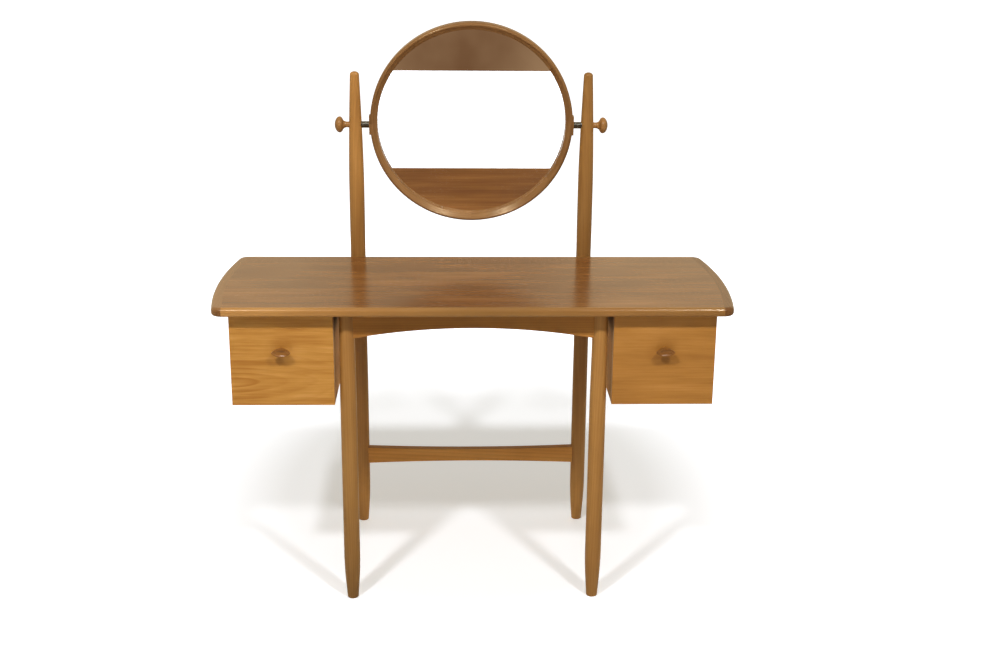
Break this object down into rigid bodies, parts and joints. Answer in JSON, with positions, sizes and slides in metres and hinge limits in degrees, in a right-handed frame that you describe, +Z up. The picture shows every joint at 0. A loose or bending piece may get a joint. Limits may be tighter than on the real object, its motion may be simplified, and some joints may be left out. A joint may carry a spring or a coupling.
{
  "type": "dressing table",
  "caption": "Dressing table with a bowed-end top on turned legs, hanging drawer cases and a round mirror that tilts between two posts.",
  "frame": {"origin": "on the floor, under the middle of the object's box", "axes": "+Z up; +X to the right as seen from the front; +Y from the front to the back"},
  "size_m": [1.174, 0.5184, 1.2913],
  "materials": {
    "top_veneer": "satin lacquered teak veneer",
    "teak_lipping": "satin lacquered solid teak",
    "teak_turned": "oiled turned teak",
    "teak_frame": "oiled solid teak",
    "teak_ring": "oiled turned teak",
    "teak_pull": "oiled carved teak",
    "front_veneer": "satin teak veneer",
    "case_veneer": "satin teak veneer",
    "drawer_oak": "planed oak",
    "backing_board": "plywood",
    "mirror_glass": "silvered glass",
    "dark_steel": "blackened steel tube",
    "screw_steel": "zinc-plated steel",
    "clip_brass": "plain brass"
  },
  "bodies": {
    "root": {"top_panel": "top_veneer", "top_lipping_front": "teak_lipping", "top_lipping_back": "teak_lipping", "top_lipping_left": "teak_lipping", "top_lipping_right": "teak_lipping", "front_leg_left": "teak_turned", "front_leg_right": "teak_turned", "rear_leg_left": "teak_turned", "rear_leg_right": "teak_turned", "front_apron": "teak_frame", "rear_apron": "teak_frame", "side_rail_left": "teak_frame", "side_rail_right": "teak_frame", "rear_stretcher": "teak_frame", "corner_blocks": "drawer_oak", "top_screws": "screw_steel", "case_screws": "screw_steel", "case_left_outer_wall": "case_veneer", "case_left_inner_wall": "case_veneer", "case_left_back": "case_veneer", "case_left_bottom": "case_veneer", "case_left_top_board": "drawer_oak", "drawer_runners_left": "drawer_oak", "case_right_outer_wall": "case_veneer", "case_right_inner_wall": "case_veneer", "case_right_back": "case_veneer", "case_right_bottom": "case_veneer", "case_right_top_board": "drawer_oak", "drawer_runners_right": "drawer_oak"},
    "drawer_left": {"drawer_left_front": "front_veneer", "drawer_left_outer_side": "drawer_oak", "drawer_left_inner_side": "drawer_oak", "drawer_left_back": "drawer_oak", "drawer_left_bottom": "backing_board", "drawer_left_pull": "teak_pull", "drawer_left_pull_screw": "screw_steel"},
    "drawer_right": {"drawer_right_front": "front_veneer", "drawer_right_outer_side": "drawer_oak", "drawer_right_inner_side": "drawer_oak", "drawer_right_back": "drawer_oak", "drawer_right_bottom": "backing_board", "drawer_right_pull": "teak_pull", "drawer_right_pull_screw": "screw_steel"},
    "mirror": {"mirror_ring": "teak_ring", "mirror_glass": "mirror_glass", "mirror_backing": "backing_board", "mirror_clips": "clip_brass", "mirror_clip_screws": "screw_steel", "pivot_stud_left": "screw_steel", "pivot_stud_right": "screw_steel", "spacer_tube_left": "dark_steel", "spacer_tube_right": "dark_steel"},
    "knob_left": {"knob_left": "teak_turned", "knob_bush_left": "clip_brass"},
    "knob_right": {"knob_right": "teak_turned", "knob_bush_right": "clip_brass"}
  },
  "joints": [
    {"name": "drawer_left_slide", "type": "slide", "parent": "root", "child": "drawer_left", "axis": [0, -1, 0], "range_m": [0, 0.28]},
    {"name": "drawer_right_slide", "type": "slide", "parent": "root", "child": "drawer_right", "axis": [0, -1, 0], "range_m": [0, 0.28]},
    {"name": "mirror_tilt", "type": "hinge", "parent": "root", "child": "mirror", "pos_m": [0, 0.21856, 1.0425], "axis": [1, 0, 0], "continuous": true},
    {"name": "knob_left_turn", "type": "hinge", "parent": "mirror", "child": "knob_left", "pos_m": [-0.33, 0.21856, 1.0425], "axis": [-1, 0, 0], "range_deg": [0, 360]},
    {"name": "knob_right_turn", "type": "hinge", "parent": "mirror", "child": "knob_right", "pos_m": [0.33, 0.21856, 1.0425], "axis": [1, 0, 0], "range_deg": [0, 360]}
  ]
}
